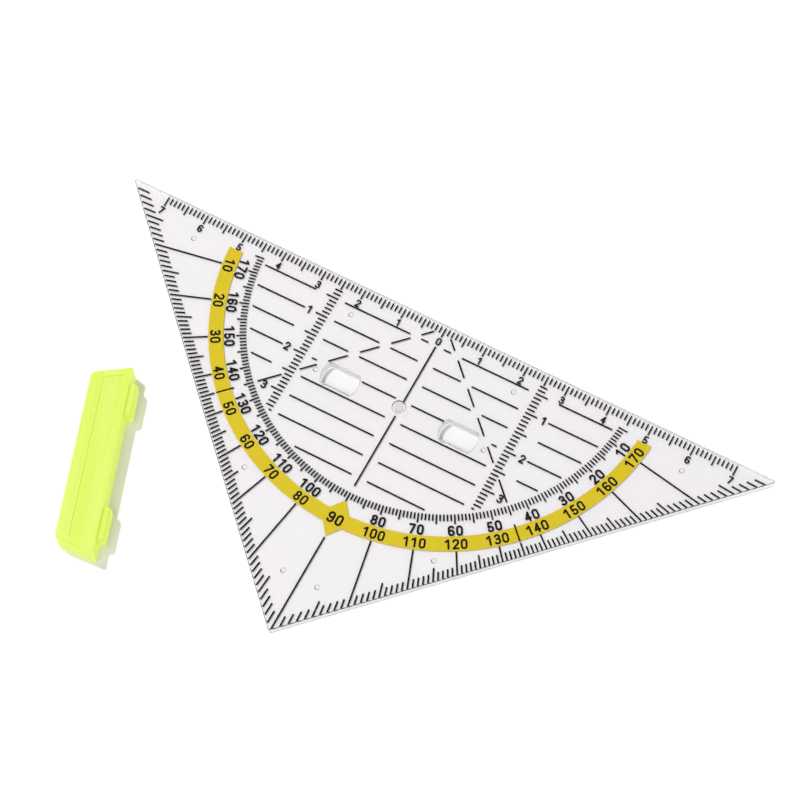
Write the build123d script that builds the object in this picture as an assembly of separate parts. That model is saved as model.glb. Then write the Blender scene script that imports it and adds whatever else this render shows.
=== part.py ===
from build123d import *
import os
from math import atan2, cos, degrees, radians, sin, sqrt, tan

# A clear set square with a centimetre edge, a protractor and a clip-on finger grip.
# Millimetres, +Z up, resting on the table at Z = 0. Every function works from the zero mark: the
# measuring edge runs along X, the right-angled corner points along -Y, and the print is on the
# underside of the plate, to be read through it. At the end the whole layout is moved along Y,
# so that the origin is at the middle of its box.

# Clear plate
hypotenuse = 158.5            # measuring edge, sharp corner to sharp corner
plate_thickness = 2.0
corner_radius = 0.4           # at the three corners
edge_break = 0.15             # chamfer round the upper outline
nub_height = 0.35             # spacer nubs hold the plate and its print off the paper
nub_base_radius = 0.65
nub_tip_radius = 0.4

# Slots for the grip, and the gate mark between them
slot_spacing = 28.8           # centre to centre
slot_inset = 22.0             # from the measuring edge to the slot centres
slot_length = 8.6             # across the round ends
slot_width = 4.9              # across the flat sides
slot_lead_in = 0.2            # chamfer at the upper mouth
gate_recess_radius = 1.5
gate_recess_depth = 0.35
gate_stub_radius = 1.0
gate_stub_height = 0.25

# Finger grip
grip_length = 43.2            # along its base
grip_height = 8.7
grip_thickness = 6.4
grip_end_slant = 14.5         # degrees that each end leans in
grip_top_radius = 1.4         # at the two top corners
grip_edge_radius = 0.6        # along the top edges
recess_depth = 0.35           # flat finger recess in each broad side
recess_low = 1.4              # its sides, above the base
recess_high = 5.8
recess_end_margin = 1.6       # from the slanted ends
recess_corner_radius = 0.4
groove_count = 4              # fine grooves across one end of the recess
groove_pitch = 0.5
groove_width = 0.2
groove_depth = 0.12
groove_length = 3.6
groove_margin = 2.1           # from the slanted end to the first groove
lug_height = 1.6             # stands into the plate
lug_clearance = 0.2           # between a lug and its slot, each side
lug_tip_chamfer = 0.3
grip_place = (-47.15, -62.2)  # middle of its base, where it lies beside the plate
grip_turn = 109.3             # degrees, from X to the grip's length

# Print
ink_thickness = 0.03
ink_gap = 0.01                # keeps each film's faces apart from the next
scale_end_margin = 9.0        # from a sharp corner of the plate to the last tick, at least
edge_margin = 0.15            # from the measuring edge to the ticks
tick_width = 0.33
short_tick = 1.65
long_tick = 2.45
line_width = 0.37
edge_numeral_height = 1.85
edge_numeral_depth = 3.8      # numeral centres, from the measuring edge
grid_pitch = 5.0
centre_gap = 1.9              # from the centre line to the grid lines
grid_inner_end = 22.6         # grid lines stop here, before a height scale
grid_outer_start = 29.9       # and start again here, past its numerals
diagonal_gap = 1.35           # half the gap where a diagonal crosses a grid line
slot_print_margin = 0.25      # from a slot to the print
height_scale_start = 24.3     # from the centre line to the ticks
height_scale_first = 3        # millimetres from the measuring edge to the first tick
height_short_tick = 1.8
height_long_tick = 2.9
height_numeral_place = 28.75
height_numeral_height = 2.05
last_numeral_drop = 0.3       # the 3 sits this much lower, clear of the diagonal
diagonal_dashes = [(2.05, 4.1), (5.85, 8.95), (10.85, 14.0), (15.9, 19.05), (20.9, 23.65), (26.5, 30.35)]
centre_line_start = 5.15      # the centre line, from the measuring edge
centre_line_margin = 0.65     # and from the right-angled corner
centre_line_gap = 0.9         # and from the inside of the protractor
gate_print_margin = 0.25      # from the gate mark to the centre line

# Protractor, set in from the legs
leg_to_band = 3.94            # nearest leg to the outside of the yellow band
band_width = 3.3
band_start = 4.6              # from the measuring edge
outer_numeral_inset = 1.55    # from the outside of the band to the numeral centres
inner_numeral_inset = 4.6
ring_inset = 8.3              # to the inner ends of the degree ticks
grid_inset = 9.1              # to the end of the grid and of the height scales
ring_first_degree = 5
ring_short_tick = 1.5
ring_long_tick = 2.2
ring_tick_width = 0.35
numeral_height = 2.35
middle_numeral_height = 2.6   # the 90
diamond_inset = 1.8           # to the middle of the diamond behind the 90
diamond_half_height = 4.6
diamond_half_width = 3.5
diamond_line_gap = 0.3        # from its tip to the centre line
leg_margin = 0.3              # from a leg to its degree ticks
leg_short_strip = 2.1         # ticks reach this far in from a leg
leg_long_strip = 3.2
degree_line_gap = 0.1         # from the band to the long degree lines
half_angle_length = 4.0       # the lines at 45 and 135 degrees across the band

# Numeral proportions, as shares of the height
numeral_width = 0.62
numeral_pitch = 0.74
numeral_stroke = 0.185

plate_bottom = nub_height
plate_top = nub_height + plate_thickness
half_edge = hypotenuse / 2
half_scale = 10 * int((half_edge - scale_end_margin) / 10)
band_outer_radius = half_edge / sqrt(2) - leg_to_band
band_inner_radius = band_outer_radius - band_width
outer_numeral_radius = band_outer_radius - outer_numeral_inset
inner_numeral_radius = band_outer_radius - inner_numeral_inset
ring_inner_radius = band_outer_radius - ring_inset
diamond_radius = band_outer_radius - diamond_inset
degree_line_start = band_outer_radius + degree_line_gap
grid_radius = band_outer_radius - grid_inset
nub_places = [                # one of each mirrored pair
    (half_edge - 19.25, -6.6),
    (20.0, -6.9),
    (slot_spacing / 2 + slot_length / 2 + 1.8, -slot_inset),
    (22.9, -(half_edge - 30.05)),
    (4.1, -(half_edge - 13.45)),
]
black_level = plate_bottom - ink_gap - ink_thickness
yellow_level = black_level - ink_gap - ink_thickness


def slot_outline(length, width):
    """Round ends of one circle, joined by two flat sides."""
    return Circle(length / 2) & Rectangle(length, width)


def make_plate():
    outline = Polygon((-half_edge, 0), (0, -half_edge), (half_edge, 0), align=None)
    outline = fillet(outline.vertices(), corner_radius)
    plate = extrude(Pos(0, 0, plate_bottom) * outline, plate_thickness)
    plate = chamfer(plate.faces().sort_by(Axis.Z)[-1].edges(), edge_break)
    for side in (-1, 1):
        centre = Pos(side * slot_spacing / 2, -slot_inset, plate_bottom)
        plate -= centre * extrude(slot_outline(slot_length, slot_width), plate_thickness)
        mouth = slot_outline(slot_length + 2 * slot_lead_in, slot_width + 2 * slot_lead_in)
        throat = slot_outline(slot_length, slot_width)
        rise = plate_thickness - slot_lead_in
        plate -= centre * loft([Pos(0, 0, rise) * throat, Pos(0, 0, plate_thickness) * mouth])
    gate = Pos(0, -slot_inset, plate_top - gate_recess_depth)
    upright = (Align.CENTER, Align.CENTER, Align.MIN)
    plate -= gate * Cylinder(gate_recess_radius, gate_recess_depth, align=upright)
    plate += gate * Cylinder(gate_stub_radius, gate_stub_height, align=upright)
    for x, y in nub_places:
        for side in (-1, 1):
            nub = Cone(nub_tip_radius, nub_base_radius, nub_height, align=upright)
            plate += Pos(side * x, y, 0) * nub
    return plate


def grip_half_length(height):
    """From the middle of the grip to its slanted end, at a height above the base."""
    return grip_length / 2 - height * tan(radians(grip_end_slant))


def side_outline(low, high, margin):
    """The stretch of the grip's side between two heights, set in from the slanted ends."""
    lower = grip_half_length(low) - margin
    upper = grip_half_length(high) - margin
    return Polygon((-lower, low), (lower, low), (upper, high), (-upper, high), align=None)


def make_grip():
    """Base along X, lugs towards -Y, lying on one broad side."""
    side = side_outline(0, grip_height, 0)
    side = fillet(side.vertices().group_by(Axis.Y)[-1], grip_top_radius)
    grip = extrude(side, grip_thickness)
    long_edges = grip.faces().sort_by(Axis.Y)[-1].edges().filter_by(Axis.X)
    grip = fillet(long_edges, grip_edge_radius)

    recess = side_outline(recess_low, recess_high, recess_end_margin)
    recess = fillet(recess.vertices(), recess_corner_radius)
    middle = (recess_low + recess_high) / 2
    end_at_middle = grip_half_length(middle)
    for face, inward in ((0, 1), (grip_thickness, -1)):
        grip -= extrude(Pos(0, 0, face) * recess, inward * recess_depth)
        floor = face + inward * recess_depth
        for number in range(groove_count):
            across = end_at_middle - groove_margin - number * groove_pitch
            groove = Box(groove_width, groove_length, 2 * groove_depth)
            grip -= Pos(across, middle, floor) * Rot(0, 0, grip_end_slant) * groove

    lug_outline = slot_outline(slot_length - 2 * lug_clearance, slot_width - 2 * lug_clearance)
    for end in (-1, 1):
        lug = extrude(lug_outline, lug_height)
        lug = chamfer(lug.faces().sort_by(Axis.Z)[-1].edges(), lug_tip_chamfer)
        grip += Pos(end * slot_spacing / 2, 0, grip_thickness / 2) * Rot(90, 0, 0) * lug
    return Pos(*grip_place, 0) * Rot(0, 0, grip_turn) * grip


def between(start, end):
    """The length of a straight run, and the place and turn of something laid along it."""
    run = Vector(*end) - Vector(*start)
    middle = (Vector(*start) + Vector(*end)) * 0.5
    return run.length, Pos(middle.X, middle.Y) * Rot(0, 0, degrees(atan2(run.Y, run.X)))


def bar(start, end, width):
    """A straight printed mark from one point to another."""
    length, spot = between(start, end)
    mark = Box(length, width, ink_thickness, align=(Align.CENTER, Align.CENTER, Align.MIN))
    return Pos(0, 0, black_level) * spot * mark


def radial_bar(degree, inner, outer, width):
    """A mark pointing at the zero, its angle counted from the left end of the edge."""
    away = Vector(-cos(radians(degree)), -sin(radians(degree)))
    return bar(away * inner, away * outer, width)


def pen_line(start, end, pen):
    length, spot = between(start, end)
    return spot * SlotCenterToCenter(length, pen)


def pen_arc(centre, radius, start, sweep, pen):
    return SlotArc(CenterArc(centre, radius, start, sweep), pen)


def pen_circle(centre, radius, pen):
    return Pos(*centre) * (Circle(radius + pen / 2) - Circle(radius - pen / 2))


def make_digit(figure, height):
    """A plain sans figure drawn with a round pen, centred on the origin."""
    pen = numeral_stroke * height
    a = (numeral_width * height - pen) / 2
    b = (height - pen) / 2
    low = -b + a
    high = b - a
    small = b - a
    if figure == "0":
        strokes = [pen_arc((0, high), a, 0, 180, pen), pen_arc((0, low), a, 180, 180, pen),
                   pen_line((-a, low), (-a, high), pen), pen_line((a, low), (a, high), pen)]
    elif figure == "1":
        stem = 0.3 * a
        strokes = [pen_line((stem, -b), (stem, b), pen), pen_line((stem, b), (-0.8 * a, b - 0.75 * a), pen)]
    elif figure == "2":
        turn = Vector(a * cos(radians(-35)), high + a * sin(radians(-35)))
        strokes = [pen_arc((0, high), a, -35, 205, pen), pen_line(turn, (-a, -b), pen),
                   pen_line((-a, -b), (a, -b), pen)]
    elif figure == "3":
        strokes = [pen_arc((0, b - small), small, -110, 265, pen), pen_arc((0, low), a, -155, 260, pen)]
    elif figure == "4":
        stem = 0.45 * a
        bar_level = -0.4 * b
        strokes = [pen_line((stem, -b), (stem, b), pen), pen_line((stem, b), (-a, bar_level), pen),
                   pen_line((-a, bar_level), (a, bar_level), pen)]
    elif figure == "5":
        start = Vector(a * cos(radians(140)), low + a * sin(radians(140)))
        strokes = [pen_arc((0, low), a, -155, 295, pen), pen_line(start, (-0.6 * a, b), pen),
                   pen_line((-0.6 * a, b), (0.85 * a, b), pen)]
    elif figure == "7":
        strokes = [pen_line((-a, b), (a, b), pen), pen_line((a, b), (-0.35 * a, -b), pen)]
    elif figure == "8":
        strokes = [pen_circle((0, b - small), small, pen), pen_circle((0, low), a, pen)]
    else:
        strokes = [pen_circle((0, low), a, pen), pen_line((-a, low), (-a, high), pen),
                   pen_arc((0, high), a, 25, 155, pen)]
    shape = strokes[0]
    for stroke in strokes[1:]:
        shape += stroke
    if figure == "9":
        shape = Rot(0, 0, 180) * shape
    return extrude(shape, ink_thickness)


digit_store = {}


def numeral(text, place, angle, height):
    """A number centred on a place, its foot turned to the given angle."""
    marks = []
    for index, figure in enumerate(text):
        if (figure, height) not in digit_store:
            digit_store[(figure, height)] = make_digit(figure, height)
        shift = (index - (len(text) - 1) / 2) * numeral_pitch * height
        spot = Pos(place[0], place[1], black_level) * Rot(0, 0, angle) * Pos(shift, 0, 0)
        marks.append(spot * digit_store[(figure, height)])
    return marks


def radial_numeral(text, degree, radius, height):
    """A number whose top points at the zero."""
    place = (-radius * cos(radians(degree)), -radius * sin(radians(degree)))
    return numeral(text, place, degree - 90, height)


def edge_scale():
    marks = []
    for x in range(-half_scale, half_scale + 1):
        length = long_tick if x % 5 == 0 else short_tick
        marks.append(bar((x, -edge_margin), (x, -edge_margin - length), tick_width))
    return marks


def edge_numerals():
    marks = []
    for x in range(-half_scale, half_scale + 1, 10):
        marks += numeral(str(abs(x) // 10), (x, -edge_numeral_depth), 0, edge_numeral_height)
    return marks


def leg_reach(degree):
    """Distance from the zero to a leg, and how squarely a radial line meets it."""
    slope = abs(cos(radians(degree))) + sin(radians(degree))
    return half_edge / slope, slope / sqrt(2)


def leg_degrees():
    marks = []
    for degree in range(1, 180):
        reach, share = leg_reach(degree)
        outer = reach - leg_margin / share
        if degree % 10 == 0:
            if degree != 90:
                marks.append(radial_bar(degree, degree_line_start, outer, line_width))
            continue
        strip = leg_long_strip if degree % 5 == 0 else leg_short_strip
        marks.append(radial_bar(degree, outer - strip / share, outer, line_width))
    half_angle_start = degree_line_start - half_angle_length
    for degree in (45, 135):
        marks.append(radial_bar(degree, half_angle_start, degree_line_start, line_width))
    return marks


def degree_ring():
    marks = []
    for degree in range(ring_first_degree, 181 - ring_first_degree):
        length = ring_long_tick if degree % 5 == 0 else ring_short_tick
        outer = ring_inner_radius + length
        marks.append(radial_bar(degree, ring_inner_radius, outer, ring_tick_width))
    return marks


def protractor_numerals():
    marks = []
    for degree in range(10, 180, 10):
        height = middle_numeral_height if degree == 90 else numeral_height
        marks += radial_numeral(str(degree), degree, outer_numeral_radius, height)
        if degree != 90:
            marks += radial_numeral(str(180 - degree), degree, inner_numeral_radius, numeral_height)
    return marks


def slot_gap(depth):
    """The stretch of a grid line that a slot takes, counted from the centre line."""
    offset = max(abs(depth - slot_inset) - slot_print_margin, 0)
    if offset > slot_width / 2:
        return None
    reach = sqrt((slot_length / 2) ** 2 - offset ** 2) + slot_print_margin
    return slot_spacing / 2 - reach, slot_spacing / 2 + reach


def open_runs(runs, gap):
    """The runs that are left outside a gap."""
    left = []
    for start, end in runs:
        left.append((start, min(end, gap[0])))
        left.append((max(start, gap[1]), end))
    return [(start, end) for start, end in left if end - start > line_width / 2]


def grid_lines():
    marks = []
    for row in range(1, int(grid_radius / grid_pitch) + 1):
        depth = row * grid_pitch
        reach = sqrt(grid_radius ** 2 - depth ** 2)
        runs = [(centre_gap, min(grid_inner_end, reach)), (grid_outer_start, reach)]
        runs = open_runs(runs, (depth - diagonal_gap, depth + diagonal_gap))
        if slot_gap(depth):
            runs = open_runs(runs, slot_gap(depth))
        for start, end in runs:
            for side in (-1, 1):
                marks.append(bar((side * start, -depth), (side * end, -depth), line_width))
    return marks


def height_scales():
    marks = []
    last_tick = int(sqrt(grid_radius ** 2 - height_scale_start ** 2))
    for depth in range(height_scale_first, last_tick + 1):
        length = height_long_tick if depth % 5 == 0 else height_short_tick
        reach = min(height_scale_start + length, sqrt(grid_radius ** 2 - depth ** 2))
        for side in (-1, 1):
            marks.append(bar((side * height_scale_start, -depth), (side * reach, -depth), line_width))
    return marks


def height_numerals():
    marks = []
    last_numeral = int(sqrt(grid_radius ** 2 - height_numeral_place ** 2) / 10)
    for centimetre in range(1, last_numeral + 1):
        depth = 10 * centimetre
        if centimetre == 3:
            depth += last_numeral_drop
        for side in (-1, 1):
            place = (side * height_numeral_place, -depth)
            marks += numeral(str(centimetre), place, 0, height_numeral_height)
    return marks


def direction_lines():
    """Broken diagonals from the zero, and the centre line."""
    marks = []
    for side in (-1, 1):
        for start, end in diagonal_dashes:
            if end * sqrt(2) < grid_radius:
                marks.append(bar((side * start, -start), (side * end, -end), line_width))
    gate_reach = gate_recess_radius + gate_print_margin
    tip = diamond_radius + diamond_half_height
    runs = [
        (centre_line_start, slot_inset - gate_reach),
        (slot_inset + gate_reach, grid_radius - centre_line_gap),
        (tip + diamond_line_gap, half_edge - centre_line_margin),
    ]
    for start, end in runs:
        marks.append(bar((0, -start), (0, -end), line_width))
    return marks


def yellow_band():
    ring = Circle(band_outer_radius) - Circle(band_inner_radius)
    span = 2 * band_outer_radius
    ring &= Pos(0, -band_start) * Rectangle(span, span, align=(Align.CENTER, Align.MAX))
    diamond = Polygon((0, diamond_half_height), (-diamond_half_width, 0), (0, -diamond_half_height),
                      (diamond_half_width, 0), align=None)
    band = ring + Pos(0, -diamond_radius) * diamond
    return extrude(Pos(0, 0, yellow_level) * band, ink_thickness)


def solids_of(marks):
    """All the solids of a list of marks, as one compound."""
    return Compound([solid for mark in marks for solid in mark.solids()])


os.makedirs("parts", exist_ok=True)
plate = make_plate()
grip = make_grip()
edge_from_middle = -(plate.bounding_box().max.Y + grip.bounding_box().min.Y) / 2
nodes = {
    "clear_plate": plate,
    "finger_grip": grip,
    "edge_scale_print": solids_of(edge_scale()),
    "edge_numerals_print": solids_of(edge_numerals()),
    "leg_degree_print": solids_of(leg_degrees()),
    "degree_ring_print": solids_of(degree_ring()),
    "protractor_numerals_print": solids_of(protractor_numerals()),
    "grid_print": solids_of(grid_lines()),
    "height_scale_print": solids_of(height_scales()),
    "height_numerals_print": solids_of(height_numerals()),
    "direction_line_print": solids_of(direction_lines()),
    "yellow_band_print": yellow_band(),
}
for name, shape in nodes.items():
    export_step(Pos(0, edge_from_middle, 0) * shape, "parts/" + name + ".step")
print("from the origin to the measuring edge:", edge_from_middle)
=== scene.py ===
import bpy
from math import cos, radians, sin
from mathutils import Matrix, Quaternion, Vector


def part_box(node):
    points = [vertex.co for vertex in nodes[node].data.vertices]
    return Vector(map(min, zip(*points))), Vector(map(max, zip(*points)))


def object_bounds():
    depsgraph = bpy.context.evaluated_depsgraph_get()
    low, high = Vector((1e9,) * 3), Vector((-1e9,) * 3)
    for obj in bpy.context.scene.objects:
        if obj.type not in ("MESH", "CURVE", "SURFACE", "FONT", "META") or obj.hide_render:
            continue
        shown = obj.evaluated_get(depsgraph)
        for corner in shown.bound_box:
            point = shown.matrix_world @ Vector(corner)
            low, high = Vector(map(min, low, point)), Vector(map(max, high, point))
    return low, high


# A clear set square with its clip-on finger grip, lying on a white table.
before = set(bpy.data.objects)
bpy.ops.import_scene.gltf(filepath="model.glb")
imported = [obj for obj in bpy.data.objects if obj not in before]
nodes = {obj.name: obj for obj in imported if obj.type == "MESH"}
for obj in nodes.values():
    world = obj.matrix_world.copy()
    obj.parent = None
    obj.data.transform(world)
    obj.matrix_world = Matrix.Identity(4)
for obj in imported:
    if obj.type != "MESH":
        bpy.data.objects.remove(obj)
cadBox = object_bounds()
print("frame loaded,", len(nodes), "nodes")

mm = 0.001
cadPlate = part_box("clear_plate")
edgeLine = cadPlate[1].y                   # the measuring edge, where the centimetre scale starts


def toLinear(hexCode):
    values = []
    for start in (1, 3, 5):
        share = int(hexCode[start:start + 2], 16) / 255
        values.append(share / 12.92 if share <= 0.04045 else ((share + 0.055) / 1.055) ** 2.4)
    return (*values, 1.0)


def perMm(size):
    return 1 / (size * mm)                 # a texture scale whose features are that many millimetres


def addNode(tree, kind, settings=None, links=None):
    node = tree.nodes.new(kind)
    for name, value in (settings or {}).items():
        if isinstance(name, str) and hasattr(node, name):
            setattr(node, name, value)
        else:
            node.inputs[name].default_value = value
    for name, socket in (links or {}).items():
        tree.links.new(socket, node.inputs[name])
    return node


def newMaterial(name):
    material = bpy.data.materials.new(name)
    material.use_nodes = True
    material.node_tree.nodes.clear()
    return material, material.node_tree


acrylic = {
    "tint": "#FAF8F9",
    "tintWarm": "#FAF9F8",
    "tintPatchMm": 30,
    "tintBlend": (0.42, 0.58),     # noise values over which one tint turns into the other
    "ior": 1.49,
    "roughness": 0.02,
    "shine": 0.1,
    "flowMm": 15,                  # slow waves left by the melt as it filled the mould
    "flowHeightMm": 0.004,
    "levelness": (0.95, 0.6),      # a face is flat above the first value, a wall under the second
    "wallWhite": "#FFFFFF",
    "wallShare": 0.85,             # side walls come off the tool less polished, so they scatter some light and their two arrises are painted grey as shade, the upper one more from near the middle of the thickness that far under the middle less of that painted shade at the slots
    "arrisPaintedShade": "#2B2A2E",        # and their two arrises look grey, the upper one more
    "arrisMm": (0.76, 0.9),        # from near the middle of the thickness
    "arrisDropMm": 0.05,           # that far under the middle
    "slotPaintedShadeShare": 0.45,        # less so at the slots, which are better polished
    "slotsReachMm": (19.5, 4.0),   # half the length and width of the strip that holds both slots
    "slotInsetMm": 22.0,           # from the measuring edge
    "gateRadiusMm": 1.05,          # the broken-off gate is frosted
    "gateCore": 0.9,               # fully so over this share of its radius
    "gateAreaMm": 2.1,             # its own colours hold inside this radius
    "gateFrost": "#D6D4D9",
    "gateRecessPaintedShade": "#2B2A2E",
    "gateShare": 0.75,
    "gateRimMm": 1.5,              # the rim of the recess is rough too, and painted grey as shade
    "gateRimWidthMm": 0.16,
    "gateRimShare": 0.7,
    "backShare": 0.5,              # of the scattered light, how much goes back rather than through
    "nubHeightMm": 0.35,
    "nubTop": (0.99, 0.97),        # shares of that height over which the nubs begin
    "nubShare": 0.75,
    # painted shade: the nub flanks that face nubShadeFrom are painted this grey
    "nubPaintedShade": "#8A898E",
    "nubShadeFrom": (0.25, 0.97, 0),
    "nubShade": (0.1, 0.6),        # how far a flank faces that way, from pale to the painted grey shade
    "shadowFlat": "#F8F7F8",
    "shadowSlot": "#6F6D73",       # light that goes into the steep walls of the slots
}
slotLine = edgeLine - acrylic["slotInsetMm"] * mm


def polishedBody(tree, spec, place):
    patches = addNode(tree, "ShaderNodeTexNoise", {"Scale": perMm(spec["tintPatchMm"]), "Detail": 1.0},
                      {"Vector": place})
    patch = addNode(tree, "ShaderNodeMapRange",
                    {"From Min": spec["tintBlend"][0], "From Max": spec["tintBlend"][1]},
                    {"Value": patches.outputs[0]})
    tint = addNode(tree, "ShaderNodeMix",
                   {"data_type": "RGBA", 6: toLinear(spec["tint"]), 7: toLinear(spec["tintWarm"])},
                   {0: patch.outputs[0]})
    flow = addNode(tree, "ShaderNodeTexNoise", {"Scale": perMm(spec["flowMm"]), "Detail": 1.5},
                   {"Vector": place})
    bump = addNode(tree, "ShaderNodeBump", {"Strength": 1.0, "Distance": spec["flowHeightMm"] * mm},
                   {"Height": flow.outputs[0]})
    clear = addNode(tree, "ShaderNodeBsdfPrincipled",
                    {"Roughness": spec["roughness"], "IOR": spec["ior"], "Transmission Weight": 1.0,
                     "Specular IOR Level": spec["shine"]},
                    {"Base Color": tint.outputs[2], "Normal": bump.outputs[0]})
    return clear.outputs[0]


def uprightFaces(tree, spec, normal):
    facing = addNode(tree, "ShaderNodeSeparateXYZ", None, {0: normal})
    level = addNode(tree, "ShaderNodeMath", {"operation": "ABSOLUTE"}, {0: facing.outputs["Z"]})
    wall = addNode(tree, "ShaderNodeMapRange",
                   {"From Min": spec["levelness"][0], "From Max": spec["levelness"][1]},
                   {"Value": level.outputs[0]})
    return wall.outputs[0]


def slotStrip(tree, spec, place):
    across = addNode(tree, "ShaderNodeVectorMath", {"operation": "SUBTRACT", 1: (0, slotLine, 0)},
                     {0: place})
    away = addNode(tree, "ShaderNodeVectorMath", {"operation": "ABSOLUTE"}, {0: across.outputs[0]})
    reach = addNode(tree, "ShaderNodeSeparateXYZ", None, {0: away.outputs[0]})
    inLength = addNode(tree, "ShaderNodeMath",
                       {"operation": "LESS_THAN", 1: spec["slotsReachMm"][0] * mm},
                       {0: reach.outputs["X"]})
    inWidth = addNode(tree, "ShaderNodeMath",
                      {"operation": "LESS_THAN", 1: spec["slotsReachMm"][1] * mm},
                      {0: reach.outputs["Y"]})
    atSlots = addNode(tree, "ShaderNodeMath", {"operation": "MULTIPLY"},
                      {0: inLength.outputs[0], 1: inWidth.outputs[0]})
    return atSlots.outputs[0]


def wallColoursWithPaintedShade(tree, spec, height, atSlots):
    # White in the middle of the thickness, painted grey shade along the two arrises.
    middle = (cadPlate[1].z + spec["nubHeightMm"] * mm) / 2 - spec["arrisDropMm"] * mm
    fromMiddle = addNode(tree, "ShaderNodeMath", {"operation": "SUBTRACT", 1: middle}, {0: height})
    distance = addNode(tree, "ShaderNodeMath", {"operation": "ABSOLUTE"}, {0: fromMiddle.outputs[0]})
    arris = addNode(tree, "ShaderNodeMapRange",
                    {"From Min": spec["arrisMm"][0] * mm, "From Max": spec["arrisMm"][1] * mm},
                    {"Value": distance.outputs[0]})
    fade = addNode(tree, "ShaderNodeMapRange", {"To Min": 1.0, "To Max": spec["slotPaintedShadeShare"]},
                   {"Value": atSlots})
    grey = addNode(tree, "ShaderNodeMath", {"operation": "MULTIPLY"},
                   {0: arris.outputs[0], 1: fade.outputs[0]})
    # painted shade: the arrises are mixed towards the grey
    colour = addNode(tree, "ShaderNodeMix",
                     {"data_type": "RGBA", 6: toLinear(spec["wallWhite"]), 7: toLinear(spec["arrisPaintedShade"])},
                     {0: grey.outputs[0]})
    return colour.outputs[2]


def roughSpotsAndPaintedShade(tree, spec, place, height, wall, atSlots):
    # The walls, with painted shade along their arrises, and the frosted gate midway between the slots with
    # the rim of its shallow recess; near the gate the walls and that rim are painted dark grey as shade.
    fromGate = addNode(tree, "ShaderNodeVectorMath",
                       {"operation": "DISTANCE", 1: (0, slotLine, cadPlate[1].z)}, {0: place})
    radius = spec["gateRadiusMm"] * mm
    frost = addNode(tree, "ShaderNodeMapRange",
                    {"From Min": radius, "From Max": radius * spec["gateCore"],
                     "To Max": spec["gateShare"]},
                    {"Value": fromGate.outputs["Value"]})
    fromRim = addNode(tree, "ShaderNodeMath", {"operation": "SUBTRACT", 1: spec["gateRimMm"] * mm},
                      {0: fromGate.outputs["Value"]})
    rimGap = addNode(tree, "ShaderNodeMath", {"operation": "ABSOLUTE"}, {0: fromRim.outputs[0]})
    rim = addNode(tree, "ShaderNodeMapRange",
                  {"From Min": spec["gateRimWidthMm"] * mm, "From Max": 0, "To Max": spec["gateRimShare"]},
                  {"Value": rimGap.outputs[0]})
    nearGate = addNode(tree, "ShaderNodeMath", {"operation": "LESS_THAN", 1: spec["gateAreaMm"] * mm},
                       {0: fromGate.outputs["Value"]})
    dark = addNode(tree, "ShaderNodeMath", {"operation": "MAXIMUM"}, {0: wall, 1: rim.outputs[0]})
    # painted shade: near the gate the recess wall and its rim are dark grey, while the frost stays pale
    gateColour = addNode(tree, "ShaderNodeMix",
                         {"data_type": "RGBA", 6: toLinear(spec["gateFrost"]),
                          7: toLinear(spec["gateRecessPaintedShade"])},
                         {0: dark.outputs[0]})
    colour = addNode(tree, "ShaderNodeMix", {"data_type": "RGBA"},
                     {0: nearGate.outputs[0], 6: wallColoursWithPaintedShade(tree, spec, height, atSlots),
                      7: gateColour.outputs[2]})
    atGate = addNode(tree, "ShaderNodeMath", {"operation": "MAXIMUM"},
                     {0: rim.outputs[0], 1: frost.outputs[0]})
    atWall = addNode(tree, "ShaderNodeMath", {"operation": "MULTIPLY", 1: spec["wallShare"]}, {0: wall})
    share = addNode(tree, "ShaderNodeMath", {"operation": "MAXIMUM"},
                    {0: atWall.outputs[0], 1: atGate.outputs[0]})
    satin = addNode(tree, "ShaderNodeBsdfTranslucent", None, {"Color": colour.outputs[2]})
    dusty = addNode(tree, "ShaderNodeBsdfDiffuse", None, {"Color": colour.outputs[2]})
    scatter = addNode(tree, "ShaderNodeMixShader", {0: spec["backShare"]},
                      {1: satin.outputs[0], 2: dusty.outputs[0]})
    return share.outputs[0], scatter.outputs[0]


def faintNubs(tree, spec, height, normal, solid):
    # Below the flat underside only the spacer nubs are left, too small and rounded to show much; their
    # flanks that face one fixed way are painted grey, a crescent of painted shade.
    low = addNode(tree, "ShaderNodeMapRange",
                  {"From Min": spec["nubTop"][0] * spec["nubHeightMm"] * mm,
                   "From Max": spec["nubTop"][1] * spec["nubHeightMm"] * mm, "To Max": spec["nubShare"]},
                  {"Value": height})
    flank = addNode(tree, "ShaderNodeVectorMath", {"operation": "DOT_PRODUCT", 1: spec["nubShadeFrom"]},
                    {0: normal})
    crescent = addNode(tree, "ShaderNodeMapRange",
                       {"From Min": spec["nubShade"][0], "From Max": spec["nubShade"][1]},
                       {"Value": flank.outputs["Value"]})
    # painted shade: grey on the flanks that face one fixed way
    colour = addNode(tree, "ShaderNodeMix",
                     {"data_type": "RGBA", 6: toLinear(spec["tint"]), 7: toLinear(spec["nubPaintedShade"])},
                     {0: crescent.outputs[0]})
    faint = addNode(tree, "ShaderNodeBsdfTransparent", None, {"Color": colour.outputs[2]})
    body = addNode(tree, "ShaderNodeMixShader", None, {0: low.outputs[0], 1: solid, 2: faint.outputs[0]})
    return body.outputs[0]


def lightThrough(tree, spec, wall, atSlots):
    # What lies under the plate is lit through it, less where the light would enter a slot's wall.
    slotWall = addNode(tree, "ShaderNodeMath", {"operation": "MULTIPLY"}, {0: atSlots, 1: wall})
    leaving = addNode(tree, "ShaderNodeNewGeometry").outputs["Backfacing"]
    entering = addNode(tree, "ShaderNodeMath", {"operation": "SUBTRACT", 0: 1.0}, {1: leaving})
    dim = addNode(tree, "ShaderNodeMath", {"operation": "MULTIPLY"},
                  {0: slotWall.outputs[0], 1: entering.outputs[0]})
    shade = addNode(tree, "ShaderNodeMix",
                    {"data_type": "RGBA", 6: toLinear(spec["shadowFlat"]), 7: toLinear(spec["shadowSlot"])},
                    {0: dim.outputs[0]})
    through = addNode(tree, "ShaderNodeBsdfTransparent", None, {"Color": shade.outputs[2]})
    return through.outputs[0]


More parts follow.
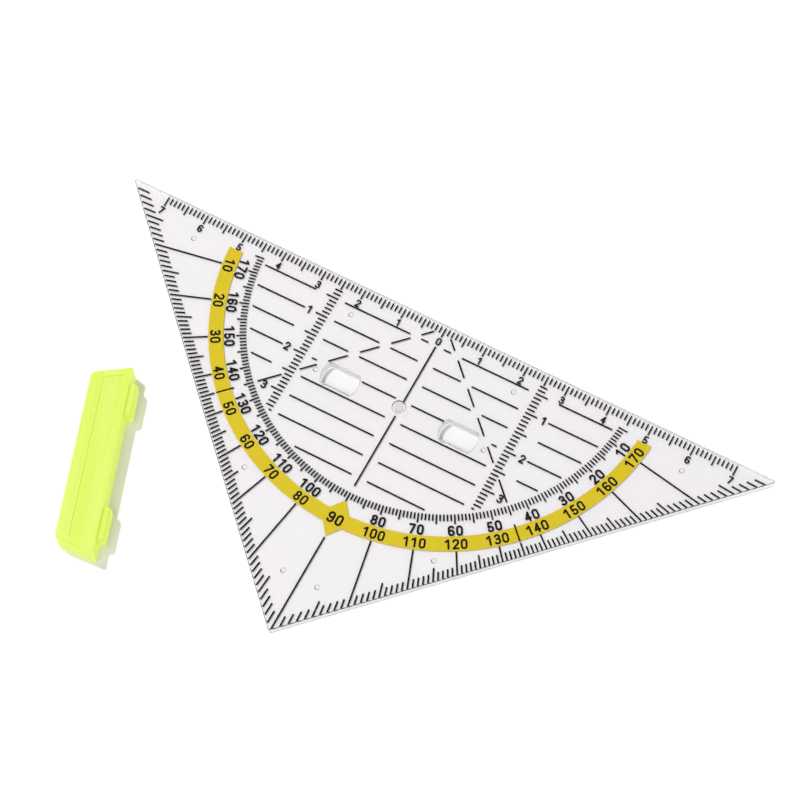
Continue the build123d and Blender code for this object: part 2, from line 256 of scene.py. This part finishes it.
def clearAcrylic(spec):
    # Injection-moulded clear acrylic (PMMA), polished tool: water-clear, grey only where seen edge-on, with
    # painted grey shade along the arrises of its walls.
    material, tree = newMaterial("clearAcrylicMoulded")
    coords = addNode(tree, "ShaderNodeTexCoord")
    place, normal = coords.outputs["Object"], coords.outputs["Normal"]
    height = addNode(tree, "ShaderNodeSeparateXYZ", None, {0: place}).outputs["Z"]
    wall = uprightFaces(tree, spec, normal)
    atSlots = slotStrip(tree, spec, place)
    share, scatter = roughSpotsAndPaintedShade(tree, spec, place, height, wall, atSlots)
    solid = addNode(tree, "ShaderNodeMixShader", None,
                    {0: share, 1: polishedBody(tree, spec, place), 2: scatter})
    body = faintNubs(tree, spec, height, normal, solid.outputs[0])
    path = addNode(tree, "ShaderNodeLightPath")
    lighting = addNode(tree, "ShaderNodeMath", {"operation": "MAXIMUM"},
                       {0: path.outputs["Is Shadow Ray"], 1: path.outputs["Is Diffuse Ray"]})
    mix = addNode(tree, "ShaderNodeMixShader", None,
                  {0: lighting.outputs[0], 1: body, 2: lightThrough(tree, spec, wall, atSlots)})
    addNode(tree, "ShaderNodeOutputMaterial", None, {"Surface": mix.outputs[0]})
    return material


blackInk = {
    "name": "blackInkScreenPrinted",
    "colour": "#010101",
    "thin": "#050506",
    "roughness": 0.6,
    "shine": 0.0,
    "grainMm": 0.18,           # coarser than the printing mesh, which would be too fine to show
    "grainBlend": (0.55, 0.8),  # noise values from full to thin ink
    "grainHeightMm": 0.01,
    "grainStrength": 0.3,
}
yellowInk = {
    "name": "yellowInkScreenPrinted",
    "colour": "#DBC40F",
    "thin": "#D5CA20",
    "roughness": 0.5,
    "shine": 0.1,
    "grainMm": 0.35,
    "grainBlend": (0.55, 0.8),
    "grainHeightMm": 0.01,
    "grainStrength": 0.3,
}


def screenInk(spec):
    # UV-cured screen ink: matt, dense, with a fine mesh grain in its thickness.
    material, tree = newMaterial(spec["name"])
    place = addNode(tree, "ShaderNodeTexCoord").outputs["Object"]
    grain = addNode(tree, "ShaderNodeTexNoise", {"Scale": perMm(spec["grainMm"]), "Detail": 3.0},
                    {"Vector": place})
    thinning = addNode(tree, "ShaderNodeMapRange",
                       {"From Min": spec["grainBlend"][0], "From Max": spec["grainBlend"][1]},
                       {"Value": grain.outputs[0]})
    colour = addNode(tree, "ShaderNodeMix",
                     {"data_type": "RGBA", 6: toLinear(spec["colour"]), 7: toLinear(spec["thin"])},
                     {0: thinning.outputs[0]})
    bump = addNode(tree, "ShaderNodeBump",
                   {"Strength": spec["grainStrength"], "Distance": spec["grainHeightMm"] * mm},
                   {"Height": grain.outputs[0]})
    ink = addNode(tree, "ShaderNodeBsdfPrincipled",
                  {"Roughness": spec["roughness"], "Specular IOR Level": spec["shine"]},
                  {"Base Color": colour.outputs[2], "Normal": bump.outputs[0]})
    addNode(tree, "ShaderNodeOutputMaterial", None, {"Surface": ink.outputs[0]})
    return material


neon = {
    # colour and streak are the emitted colours of the painted glow
    "colour": "#DEF36B",
    "streak": "#D8F050",
    "streakMm": (45, 1.3, 1.3),  # length and width of the flow lines
    "streakBlend": (0.45, 0.62),
    "turn": 109.3,             # degrees, from X to the grip's length
    "body": "#8C9942",         # what is left under lamps without the painted glow
    "paintedGlow": 0.61,
    "roughness": 0.45,
    "shine": 0.2,
    "scatter": 0.35,
    "scatterMm": 2,
    "scatterRadius": (0.9, 1.0, 0.3),
    "grainMm": 0.22,           # spark-eroded tool texture, coarser than the real one so that it shows
    "grainHeightMm": 0.012,
    "grainStrength": 0.6,
}


def neonPolystyrene(spec):
    # Fluorescent polystyrene, moulded with a satin tool face: it glows, so its sides hardly darken; the
    # glow is painted light, an emission that stands for its fluorescence and also lightens its shaded
    # sides.
    material, tree = newMaterial("neonPolystyreneMoulded")
    place = addNode(tree, "ShaderNodeTexCoord").outputs["Object"]
    along = addNode(tree, "ShaderNodeMapping",
                    {"vector_type": "TEXTURE", "Rotation": (0, 0, radians(spec["turn"])),
                     "Scale": [size * mm for size in spec["streakMm"]]}, {"Vector": place})
    streaks = addNode(tree, "ShaderNodeTexNoise", {"Scale": 1.0, "Detail": 1.0},
                      {"Vector": along.outputs[0]})
    streak = addNode(tree, "ShaderNodeMapRange",
                     {"From Min": spec["streakBlend"][0], "From Max": spec["streakBlend"][1]},
                     {"Value": streaks.outputs[0]})
    colour = addNode(tree, "ShaderNodeMix",
                     {"data_type": "RGBA", 6: toLinear(spec["colour"]), 7: toLinear(spec["streak"])},
                     {0: streak.outputs[0]})
    grain = addNode(tree, "ShaderNodeTexNoise", {"Scale": perMm(spec["grainMm"]), "Detail": 2.0},
                    {"Vector": place})
    bump = addNode(tree, "ShaderNodeBump",
                   {"Strength": spec["grainStrength"], "Distance": spec["grainHeightMm"] * mm},
                   {"Height": grain.outputs[0]})
    # painted glow: the streaked colour is emitted at a fixed strength, lit or not
    body = addNode(tree, "ShaderNodeBsdfPrincipled",
                   {"Base Color": toLinear(spec["body"]), "Roughness": spec["roughness"],
                    "Specular IOR Level": spec["shine"], "Subsurface Weight": spec["scatter"],
                    "Subsurface Scale": spec["scatterMm"] * mm, "Subsurface Radius": spec["scatterRadius"],
                    "Emission Strength": spec["paintedGlow"]},
                   {"Emission Color": colour.outputs[2], "Normal": bump.outputs[0]})
    addNode(tree, "ShaderNodeOutputMaterial", None, {"Surface": body.outputs[0]})
    return material


def dress(node, material):
    node.data.materials.clear()
    node.data.materials.append(material)


black = screenInk(blackInk)
dress(nodes["clear_plate"], clearAcrylic(acrylic))
dress(nodes["finger_grip"], neonPolystyrene(neon))
dress(nodes["yellow_band_print"], screenInk(yellowInk))
for name, node in nodes.items():
    if name.endswith("_print") and name != "yellow_band_print":
        dress(node, black)
print("materials on the plate, the grip and the print")

studio = {
    "tableSize": 1.6,
    "tableDropMm": 0.02,      # below the lowest face, so that the two never coincide
    "table": "#F4F4F4",
    "tableRoughness": 0.9,
    "tableShine": 0.1,
    "lampDistance": 1.6,
    "lampSize": 0.12,
    "lampPower": 15.0,
    "lampElevation": 65,      # degrees above the table
    "lampAzimuth": 173,       # degrees from +X, towards +Y
    "fillDistance": 1.4,
    "fillSize": 0.9,
    "fillPower": 7.0,
    "fillElevation": 62,
    "fillAzimuth": -85,
    "skyLow": 0.95,           # white card stands round the table
    "skyHigh": 0.2,           # and the ceiling is dim
    "skyBlend": (0.35, 0.75),  # from the card's height to the ceiling's
}


def makeTable(spec):
    half = spec["tableSize"] / 2
    mesh = bpy.data.meshes.new("table")
    corners = [(-half, -half, 0), (half, -half, 0), (half, half, 0), (-half, half, 0)]
    mesh.from_pydata(corners, [], [(0, 1, 2, 3)])
    table = bpy.data.objects.new("table", mesh)
    bpy.context.scene.collection.objects.link(table)
    table.location.z = cadBox[0][2] - spec["tableDropMm"] * mm
    # Matt uncoated white card, so bright that it carries no pattern of its own.
    material, tree = newMaterial("whiteCardMatt")
    card = addNode(tree, "ShaderNodeBsdfPrincipled",
                   {"Base Color": toLinear(spec["table"]), "Roughness": spec["tableRoughness"],
                    "Specular IOR Level": spec["tableShine"]})
    addNode(tree, "ShaderNodeOutputMaterial", None, {"Surface": card.outputs[0]})
    mesh.materials.append(material)


def makeLamp(name, distance, size, power, elevation, azimuth):
    lamp = bpy.data.lights.new(name, "AREA")
    lamp.shape = "DISK"
    lamp.size = size
    lamp.energy = power
    holder = bpy.data.objects.new(name, lamp)
    bpy.context.scene.collection.objects.link(holder)
    rise, turn = radians(elevation), radians(azimuth)
    direction = Vector((cos(rise) * cos(turn), cos(rise) * sin(turn), sin(rise)))
    holder.location = direction * distance
    holder.rotation_euler = direction.to_track_quat("Z", "Y").to_euler()


def makeLight(spec):
    makeLamp("keyLamp", spec["lampDistance"], spec["lampSize"], spec["lampPower"], spec["lampElevation"],
             spec["lampAzimuth"])
    makeLamp("fillLamp", spec["fillDistance"], spec["fillSize"], spec["fillPower"], spec["fillElevation"],
             spec["fillAzimuth"])
    world = bpy.data.worlds.new("studioSky")
    bpy.context.scene.world = world
    world.use_nodes = True
    tree = world.node_tree
    tree.nodes.clear()
    direction = addNode(tree, "ShaderNodeTexCoord").outputs["Generated"]
    up = addNode(tree, "ShaderNodeSeparateXYZ", None, {0: direction})
    level = addNode(tree, "ShaderNodeMapRange",
                    {"From Min": spec["skyBlend"][0], "From Max": spec["skyBlend"][1],
                     "To Min": spec["skyLow"], "To Max": spec["skyHigh"]},
                    {"Value": up.outputs["Z"]})
    sky = addNode(tree, "ShaderNodeBackground", {"Color": (1, 1, 1, 1)}, {"Strength": level.outputs[0]})
    addNode(tree, "ShaderNodeOutputWorld", None, {"Surface": sky.outputs[0]})


view = {
    "targetMm": (-1.1, -19.56),  # from the zero mark
    "distance": 0.5763,
    "azimuth": -59.07,        # degrees from +X
    "elevation": 65.93,
    "roll": -2.96,
    "lens": 120.0,
    "sensor": 36,
    "nearest": 0.01,
}


def makeCamera(spec):
    camera = bpy.data.cameras.new("view")
    camera.lens = spec["lens"]
    camera.sensor_width = spec["sensor"]
    camera.clip_start = spec["nearest"]
    holder = bpy.data.objects.new("view", camera)
    bpy.context.scene.collection.objects.link(holder)
    rise, turn = radians(spec["elevation"]), radians(spec["azimuth"])
    away = Vector((cos(rise) * cos(turn), cos(rise) * sin(turn), sin(rise)))
    aim = away.to_track_quat("Z", "Y")
    holder.rotation_euler = (Quaternion(away, radians(spec["roll"])) @ aim).to_euler()
    target = Vector((spec["targetMm"][0] * mm, edgeLine + spec["targetMm"][1] * mm, 0))
    holder.location = target + away * spec["distance"]
    bpy.context.scene.camera = holder


makeTable(studio)
makeLight(studio)
makeCamera(view)
bpy.context.scene.view_settings.view_transform = "Standard"
print("table, light and camera set")
